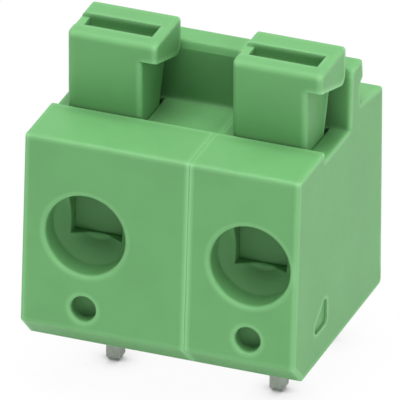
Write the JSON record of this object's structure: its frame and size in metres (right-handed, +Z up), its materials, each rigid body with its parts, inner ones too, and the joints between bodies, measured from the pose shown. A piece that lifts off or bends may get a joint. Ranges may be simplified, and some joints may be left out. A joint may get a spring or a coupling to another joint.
{
  "type": "pcb spring terminal block",
  "caption": "Push-button spring terminal block for circuit boards, with round wire funnels and square solder pins.",
  "frame": {"origin": "centre of the left front solder pin at the board surface, level with the housing's underside", "axes": "+X to the right along the row of poles, -Y out of the wire entries, +Z up out of the board"},
  "size_m": [0.0126, 0.0108, 0.016],
  "materials": {
    "green_housing": "fine moulded, slightly satin",
    "green_button": "fine moulded, slightly satin",
    "tinned_strip": "dull tin plate",
    "spring_steel": "bright rolled spring strip"
  },
  "bodies": {
    "block": {"housing_module_left": "green_housing", "contact_strip_left": "tinned_strip", "clamp_spring_left": "spring_steel", "housing_module_right": "green_housing", "contact_strip_right": "tinned_strip", "clamp_spring_right": "spring_steel"},
    "button_left": {"push_button_left": "green_button"},
    "button_right": {"push_button_right": "green_button"}
  },
  "joints": [
    {"name": "press_left", "type": "slide", "parent": "block", "child": "button_left", "axis": [0, 0, -1], "range_m": [0, 0.002], "stiffness_N_per_m": 2500, "deforming": ["clamp_spring_left"]},
    {"name": "press_right", "type": "slide", "parent": "block", "child": "button_right", "axis": [0, 0, -1], "range_m": [0, 0.002], "stiffness_N_per_m": 2500, "deforming": ["clamp_spring_right"]}
  ]
}
